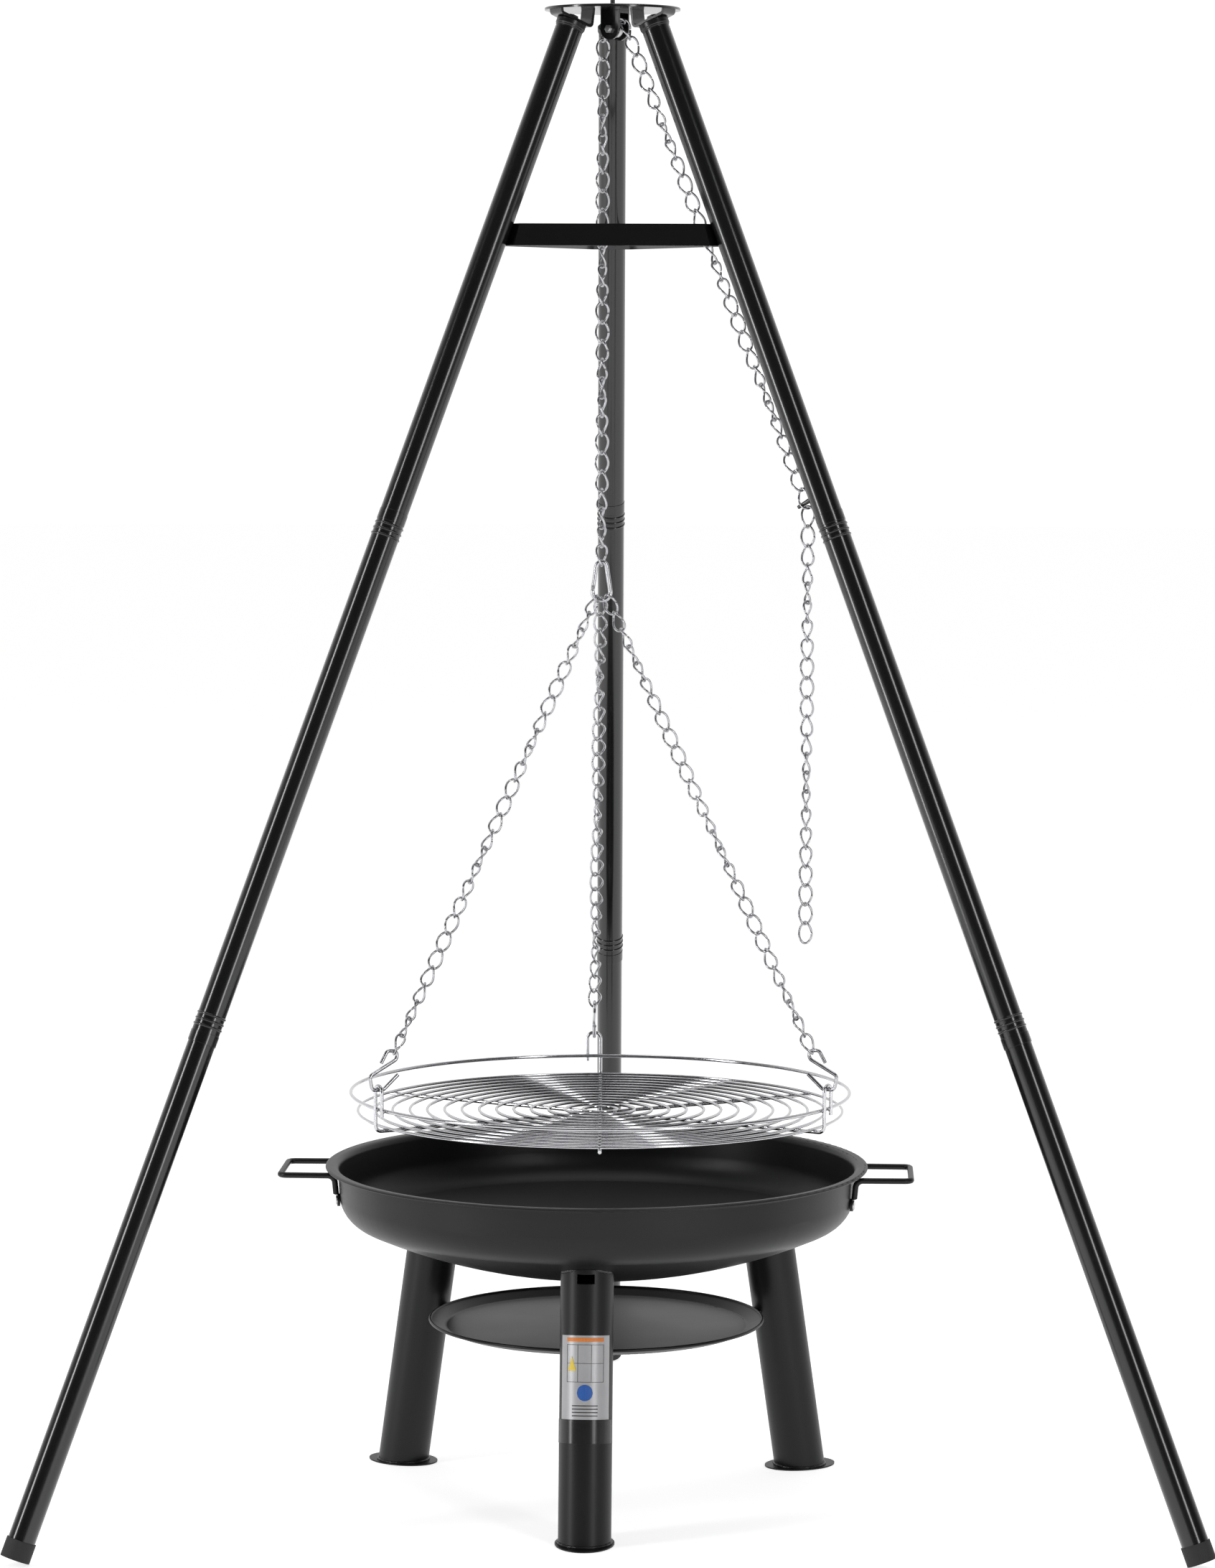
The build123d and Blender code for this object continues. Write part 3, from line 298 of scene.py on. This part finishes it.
def twist_at(number, edge_on):
    """Turn of a link, given the link numbers where the chain is seen edge-on, half a turn apart."""
    place = 0
    while place < len(edge_on) - 2 and number > edge_on[place + 1]:
        place += 1
    low, high = edge_on[place], edge_on[place + 1]
    return pi * (0.5 + place + (number - low) / (high - low))


def chain_mesh(name, start, end, count, facing, twist, first=0, thin=0.0):
    """A run of links between two joints, from link number first on."""
    span = end - start
    along = span.normalized()
    flat = (facing - along * facing.dot(along)).normalized()
    work = bmesh.new()
    for number in range(count):
        centre = start + span * ((number + 0.5) / count)
        add_link(work, centre, along, flat, twist(number + first), WIRE_R - thin)
    return finish_mesh(work, name)


FILLER_THINNER = 0.00012
FRONT = Vector((0, -1, 0))
hang_low = Vector((hang.x, hang.y, CARABINER_JOINT_Z))
hang_split = hang_low + Vector((0, 0, HOIST_LINKS / 2 * PITCH))
hang_mid = hang_low + Vector((0, 0, HOIST_LINKS * PITCH))
hang_high = hang_mid + Vector((0, 0, HOIST_LINKS * PITCH))
pulley_out = spoke(LEG_AZIMUTHS["right"])
over_left = tripod + pulley_out * OVER_LEFT[0] + Vector((0, 0, OVER_LEFT[1]))
over_right = tripod + pulley_out * OVER_RIGHT[0] + Vector((0, 0, OVER_RIGHT[1]))
hook_joint = tripod + pulley_out * HOOK_JOINT[0] + Vector((0, 0, HOOK_JOINT[1]))
tail_top = hook_joint - Vector((0, 0, TAIL_DROP))
tail_mid = tail_top - Vector((0, 0, HOIST_LINKS * PITCH))
tail_end = tail_mid - Vector((0, 0, TAIL_END_LINKS * PITCH))


def hoist_twist(number):
    """One turn every 14 links, so that lifted links fall on the ones above."""
    return radians(FIRST_HOIST_TURN) + 2 * pi * number / HOIST_LINKS


def run_twist(number):
    return twist_at(number, RUN_EDGE_ON)


def tail_twist(number):
    return twist_at(number, TAIL_EDGE_ON)


def add_chain(name, body, replaced, mesh):
    return new_piece(name, mesh, body, materials["zinc_chain"], replaced)


# The moving links lie exactly over the thinner ones when the grate is lifted by fourteen links.
half = HOIST_LINKS // 2
low_part = chain_mesh("hoist_links_lower", hang_low, hang_split, half, FRONT, hoist_twist)
middle_part = chain_mesh("hoist_links_middle", hang_split, hang_mid, half, FRONT, hoist_twist, half)
high_part = chain_mesh(
    "hoist_links_upper", hang_mid, hang_high, HOIST_LINKS, FRONT, hoist_twist, thin=FILLER_THINNER
)
add_chain("hoist_links_lower", "hung_grate", ["hoist_chain_lower"], low_part)
add_chain("hoist_links_middle", "middle_chain", ["hoist_chain_middle"], middle_part)
add_chain("hoist_links_upper", "upper_chain", ["hoist_chain_upper"], high_part)

# The whole visible tail is on the part that pays out; the thinner filler stays behind at the peg.
tail_links = HOIST_LINKS + TAIL_END_LINKS
tail = chain_mesh("tail_links", tail_top, tail_end, tail_links, FRONT, tail_twist)
filler = chain_mesh(
    "tail_links_filler", tail_top, tail_mid, HOIST_LINKS, FRONT, tail_twist, thin=FILLER_THINNER
)
add_chain("tail_links", "lower_tail", ["tail_chain_lower"], tail)
add_chain("tail_links_filler", "upper_tail", ["tail_chain_upper"], filler)

run_work = bmesh.new()
for start, end, face, turn in (
    (hang_high, over_left, Vector((pulley_out.y, -pulley_out.x, 0)), FIRST_OVER_TURN),
    (over_left, over_right, Vector((0, 0, 1)), SECOND_OVER_TURN),
):
    along = (end - start).normalized()
    flat = (face - along * face.dot(along)).normalized()
    add_link(run_work, (start + end) / 2, along, flat, radians(turn), WIRE_R)
run_along = (hook_joint - over_right).normalized()
run_flat = (FRONT - run_along * FRONT.dot(run_along)).normalized()
for number in range(RUN_LINKS):
    middle_at = over_right + (hook_joint - over_right) * ((number + 0.5) / RUN_LINKS)
    add_link(run_work, middle_at, run_along, run_flat, run_twist(number), WIRE_R)
add_chain("run_links", "frame", ["chain_run"], finish_mesh(run_work, "run_links"))

for leg, azimuth in LEG_AZIMUTHS.items():
    place, drop, edge_on = SLINGS[leg]
    start = Vector((hang.x + place, hang.y, drop))
    end = hang + spoke(azimuth + HOOK_SIDE) * S_HOOK_JOINT[0] + Vector((0, 0, S_HOOK_JOINT[1]))

    def sling_twist(number):
        return twist_at(number, edge_on)

    sling = chain_mesh("sling_links_" + leg, start, end, SLING_LINKS, FRONT, sling_twist)
    add_chain("sling_links_" + leg, "hung_grate", ["sling_" + leg], sling)


# ---- welds ----
RIPPLE_STEP = 2.1


def bead(work, points, radius, ripple=0.22, steps=8):
    """A rippled weld bead along a line of points, closed if it ends where it starts."""
    closed = (points[0] - points[-1]).length < 1e-6
    count = len(points) - 1 if closed else len(points)
    rings = []
    for index in range(count):
        before = points[index - 1] if index or closed else points[0]
        after = points[(index + 1) % len(points)] if index + 1 < len(points) else points[index]
        if closed and index == 0:
            before = points[-2]
        along = (after - before).normalized()
        side = along.orthogonal().normalized()
        other = along.cross(side)
        swell = 1 + ripple * sin(index * RIPPLE_STEP)
        end = 1 if closed else min(1, (index + 0.6) / 2, (count - index - 0.4) / 2)
        size = radius * swell * max(0.25, end)
        ring = []
        for step in range(steps):
            angle = 2 * pi * step / steps
            ring.append(work.verts.new(points[index] + size * (cos(angle) * side + sin(angle) * other)))
        rings.append(ring)
    pairs = list(zip(rings, rings[1:]))
    if closed:
        pairs.append((rings[-1], rings[0]))
    for low, high in pairs:
        shift = min(range(steps), key=lambda step: (low[0].co - high[step].co).length)
        turned = high[shift:] + high[:shift]
        for step in range(steps):
            after = (step + 1) % steps
            work.faces.new((low[step], low[after], turned[after], turned[step]))
    if not closed:
        work.faces.new(list(reversed(rings[0])))
        work.faces.new(rings[-1])


def blob(work, centre, across, along, up, axis):
    """A small weld nugget: a squashed ball lying along an axis."""
    result = bmesh.ops.create_icosphere(work, subdivisions=2, radius=1)
    side = Vector((-axis.y, axis.x, 0))
    for vertex in result["verts"]:
        x, y, z = vertex.co
        vertex.co = centre + axis * (x * along) + side * (y * across) + Vector((0, 0, z * up))


def bowl_outside_z(radius):
    """Height of the bowl's outer face at a radius within its dome."""
    return BOWL_BOTTOM_Z + BOWL_DOME_R - sqrt(BOWL_DOME_R**2 - radius**2)


def leg_axis(azimuth, height):
    """A point on a bowl leg's axis; height runs up the leg."""
    out = spoke(azimuth)
    up = -out * sin(BOWL_LEG_TILT) + Vector((0, 0, cos(BOWL_LEG_TILT)))
    return bowl + out * BOWL_LEG_FLOOR + up * height


def leg_point(azimuth, angle, height):
    """A point on a bowl leg's tube; angle 0 faces outward."""
    out = spoke(azimuth)
    side = Vector((-out.y, out.x, 0))
    face = out * cos(BOWL_LEG_TILT) + Vector((0, 0, sin(BOWL_LEG_TILT)))
    return leg_axis(azimuth, height) + BOWL_LEG_R * (cos(angle) * face + sin(angle) * side)


def leg_seam(azimuth, angle):
    """Where the leg's tube meets the bowl at that angle round the leg."""
    height = BOWL_LEG_LENGTH
    for _ in range(12):
        point = leg_point(azimuth, angle, height)
        flat = Vector((point.x - bowl.x, point.y - bowl.y))
        height += bowl_outside_z(flat.length) - point.z
    return leg_point(azimuth, angle, height)


SEAM_BEAD_R = 0.0021
SEAM_START = radians(22)
SEAM_STEP = radians(3.2)
SEAM_POINTS = 15
FOOT_BEAD_R = 0.0016
FOOT_BEAD_RISE = 0.0006
FOOT_BEAD_POINTS = 60

leg_welds = bmesh.new()
for azimuth in BOWL_LEG_AZIMUTHS.values():
    for side in (1, -1):
        angles = [side * (SEAM_START + SEAM_STEP * step) for step in range(SEAM_POINTS)]
        bead(leg_welds, [leg_seam(azimuth, angle) for angle in angles], SEAM_BEAD_R)
    around = []
    for step in range(FOOT_BEAD_POINTS + 1):
        angle = 2 * pi * step / FOOT_BEAD_POINTS
        low = leg_point(azimuth, angle, 0)
        height = (FOOT_PLATE_TOP + FOOT_BEAD_RISE - low.z) / cos(BOWL_LEG_TILT)
        around.append(leg_point(azimuth, angle, height))
    bead(leg_welds, around, FOOT_BEAD_R)
leg_weld_mesh = finish_mesh(leg_welds, "bowl_leg_welds")
new_piece("bowl_leg_welds", leg_weld_mesh, "bowl_unit", materials["weld"])

# ---- label: a film with plain coloured shapes where the print would be ----
# Across is measured round the tube from the leg's front, z up the leg.
LABEL_LOW = 0.106
FILM_FOOT = 0.131
FILM_HALF = 0.04
PRINT_R = BOWL_LEG_R + 0.0005
PRINT_THICK = 0.0001
PRINT_HALF = 0.021
PRINT_STEP = 0.0015
STRIP_LOW = 0.2125
STRIP_HIGH = 0.2165
CELL_ROWS = (0.17, 0.1895, 0.209)
CELL_COLUMNS = (-0.021, -0.008, 0.0065, 0.0206)
CELL_LINE = 0.0004
TEXT_ROWS = (0.1345, 0.138, 0.1415, 0.145)
TEXT_HALF = 0.014
TEXT_THICK = 0.001
TRIANGLE_AT = -0.0145
TRIANGLE_HALF = 0.005
TRIANGLE_LOW = 0.182
TRIANGLE_HIGH = 0.197
DISC_Z = 0.159
DISC_R = 0.0085
COLUMNS = 16


def print_point(across, z, radius):
    """A point on the front leg, at a radius from the tube's axis."""
    up = z / cos(BOWL_LEG_TILT)
    out = leg_point(BOWL_LEG_AZIMUTHS["front"], across / BOWL_LEG_R, up)
    axis = leg_axis(BOWL_LEG_AZIMUTHS["front"], up)
    return axis + (out - axis) * (radius / BOWL_LEG_R)


def print_patch(work, outline):
    """A thin flat patch with the outline given as (across, z) points."""
    inner, outer = (
        [work.verts.new(print_point(across, z, radius)) for across, z in outline]
        for radius in (PRINT_R, PRINT_R + PRINT_THICK)
    )
    work.faces.new(outer)
    work.faces.new(list(reversed(inner)))
    for step in range(len(outline)):
        after = (step + 1) % len(outline)
        work.faces.new((inner[step], inner[after], outer[after], outer[step]))


def print_columns(work, left, right, low_at, high_at, columns):
    """A shape between two curves that follows the tube, in narrow columns."""
    for step in range(columns):
        a = left + (right - left) * step / columns
        b = left + (right - left) * (step + 1) / columns
        print_patch(work, [(a, low_at(a)), (b, low_at(b)), (b, high_at(b)), (a, high_at(a))])


def print_bar(work, left, right, low, high):
    columns = max(1, round((right - left) / PRINT_STEP))
    print_columns(work, left, right, lambda x: low, lambda x: high, columns)


def draw_strip(work):
    print_bar(work, -PRINT_HALF, PRINT_HALF, STRIP_LOW, STRIP_HIGH)


def draw_foot(work):
    print_bar(work, -FILM_HALF, FILM_HALF, LABEL_LOW, FILM_FOOT)


def draw_cells(work):
    for low in CELL_ROWS:
        print_bar(work, -PRINT_HALF, PRINT_HALF, low, low + CELL_LINE)
    for left in CELL_COLUMNS:
        print_bar(work, left, left + CELL_LINE, CELL_ROWS[0], CELL_ROWS[-1] + CELL_LINE)
    for low in TEXT_ROWS:
        print_bar(work, -TEXT_HALF, TEXT_HALF, low, low + TEXT_THICK)


def draw_triangle(work):
    def side(x):
        share = abs(x - TRIANGLE_AT) / TRIANGLE_HALF
        return TRIANGLE_HIGH - (TRIANGLE_HIGH - TRIANGLE_LOW) * share + PRINT_THICK / 10

    left = TRIANGLE_AT - TRIANGLE_HALF
    print_columns(work, left, left + 2 * TRIANGLE_HALF, lambda x: TRIANGLE_LOW, side, COLUMNS)


def draw_disc(work):
    def rise(x):
        return sqrt(max(0, DISC_R**2 - x**2))

    def top(x):
        return DISC_Z + rise(x) + PRINT_THICK / 10

    print_columns(work, -DISC_R, DISC_R, lambda x: DISC_Z - rise(x), top, COLUMNS)


for name, material, draw in (
    ("label_strip", "label_orange", draw_strip),
    ("label_foot", "label_black", draw_foot),
    ("label_cells", "label_ink", draw_cells),
    ("label_triangle", "label_yellow", draw_triangle),
    ("label_disc", "label_blue", draw_disc),
):
    print_work = bmesh.new()
    draw(print_work)
    print_mesh = finish_mesh(print_work, name, smooth=False)
    new_piece(name, print_mesh, "bowl_unit", materials[material])

# ---- welds on the grate ----
# each nugget: its half width, half length and half height
CROSSING_NUGGET = (0.0017, 0.0022, 0.0011)
HAIRPIN_NUGGET = (0.0022, 0.0016, 0.0026)

grate_welds = bmesh.new()
for azimuth in LEG_AZIMUTHS.values():
    for turn in (0, 180):
        out = spoke(azimuth + turn)
        for ring in range(1, RING_COUNT + 1):
            spot = hang + out * (ring * RING_PITCH) + Vector((0, 0, RING_Z - RING_WIRE_R))
            blob(grate_welds, spot, *CROSSING_NUGGET, out)
    out = spoke(azimuth)
    side = Vector((-out.y, out.x, 0))
    for shift in (0, HAIRPIN_WIDTH):
        spot = hang + out * ((RIM_R + HAIRPIN_R) / 2) + side * shift + Vector((0, 0, RIM_Z))
        blob(grate_welds, spot, *HAIRPIN_NUGGET, out)
grate_weld_mesh = finish_mesh(grate_welds, "grate_welds")
new_piece("grate_welds", grate_weld_mesh, "hung_grate", materials["bright_weld"])

# ---- floor, light and camera ----
STUDIO_R = 30
FLOOR_GAP = 0.0003


def studio_surface(name, glow, grey):
    """A white or black matt surface that glows, so that it stays pale in every view."""
    material, shader, *_ = new_material(name)
    shader.inputs["Base Color"].default_value = (grey, grey, grey, 1)
    shader.inputs["Roughness"].default_value = 0.9
    shader.inputs["Specular IOR Level"].default_value = 0
    shader.inputs["Emission Color"].default_value = (1, 1, 1, 1)
    shader.inputs["Emission Strength"].default_value = glow
    return material


corners = [(x * STUDIO_R, y * STUDIO_R, 0) for x, y in ((-1, -1), (1, -1), (1, 1), (-1, 1))]
floor_mesh = bpy.data.meshes.new("floor")
floor_mesh.from_pydata(corners, [], [(0, 1, 2, 3)])
floor = bpy.data.objects.new("floor", floor_mesh)
floor.location.z = -FLOOR_GAP
bpy.context.scene.collection.objects.link(floor)
floor_mesh.materials.append(studio_surface("floor", glow=0.74, grey=0.7))

# only the camera sees the dome, so it lights nothing and shows in no reflection
dome_work = bmesh.new()
bmesh.ops.create_icosphere(dome_work, subdivisions=5, radius=STUDIO_R)
dome_mesh = bpy.data.meshes.new("backdrop")
dome_work.to_mesh(dome_mesh)
dome_work.free()
dome = bpy.data.objects.new("backdrop", dome_mesh)
dome_mesh.materials.append(studio_surface("backdrop", glow=1.1, grey=0))
dome.visible_glossy = False
dome.visible_diffuse = False
dome.visible_transmission = False
dome.visible_shadow = False
bpy.context.scene.collection.objects.link(dome)

# the world is dark on the camera's side and bright behind the object
world = bpy.data.worlds.new("studio")
bpy.context.scene.world = world
world.use_nodes = True
sky = world.node_tree
direction = sky.nodes.new("ShaderNodeTexCoord")
split = sky.nodes.new("ShaderNodeSeparateXYZ")
fade = sky.nodes.new("ShaderNodeMapRange")
fade.interpolation_type = "SMOOTHSTEP"
fade.inputs["From Min"].default_value = -0.3
fade.inputs["From Max"].default_value = 0.75
fade.inputs["To Min"].default_value = 0.06
fade.inputs["To Max"].default_value = 0.9
sky.links.new(direction.outputs["Generated"], split.inputs["Vector"])
sky.links.new(split.outputs["Y"], fade.inputs["Value"])
sky.links.new(fade.outputs["Result"], sky.nodes["Background"].inputs["Strength"])
sky.nodes["Background"].inputs["Color"].default_value = (1, 1, 1, 1)


def softbox(name, place, target, width, height, glow):
    """A rectangular studio light aimed at a point; glow is the brightness of its face."""
    light = bpy.data.lights.new(name, "AREA")
    light.shape = "RECTANGLE"
    light.size = width
    light.size_y = height
    light.energy = glow * pi * width * height
    obj = bpy.data.objects.new(name, light)
    obj.location = place
    obj.rotation_euler = (Vector(target) - Vector(place)).to_track_quat("-Z", "Y").to_euler()
    bpy.context.scene.collection.objects.link(obj)


MID_HEIGHT = (0, 0, 0.8)
softbox("left_strip", (-3.6, -1.9, 1.4), MID_HEIGHT, width=0.5, height=3.8, glow=13)
softbox("right_strip", (2.4, -3.7, 1.7), MID_HEIGHT, width=0.7, height=4.0, glow=7)
softbox("top", (0, 0.2, 4.4), (0, 0, 0), width=2.6, height=2.6, glow=1.6)

# the camera looks slightly down at the tripod from in front; place in metres, angles in radians
SENSOR = 36
LENS = 114.625
CAMERA_PLACE = (-0.0032, -5.4862, 1.2725)
CAMERA_DOWN = 0.0877
CAMERA_ROLL = 0.0028
camera_data = bpy.data.cameras.new("camera")
camera_data.sensor_fit = "VERTICAL"
camera_data.sensor_height = SENSOR
camera_data.lens = LENS
camera = bpy.data.objects.new("camera", camera_data)
camera.matrix_world = (
    Matrix.Translation(tripod + Vector(CAMERA_PLACE))
    @ Matrix.Rotation(pi / 2 - CAMERA_DOWN, 4, "X")
    @ Matrix.Rotation(CAMERA_ROLL, 4, "Z")
)
bpy.context.scene.collection.objects.link(camera)
bpy.context.scene.camera = camera

bpy.context.scene.view_settings.view_transform = "Standard"
bpy.context.view_layer.update()
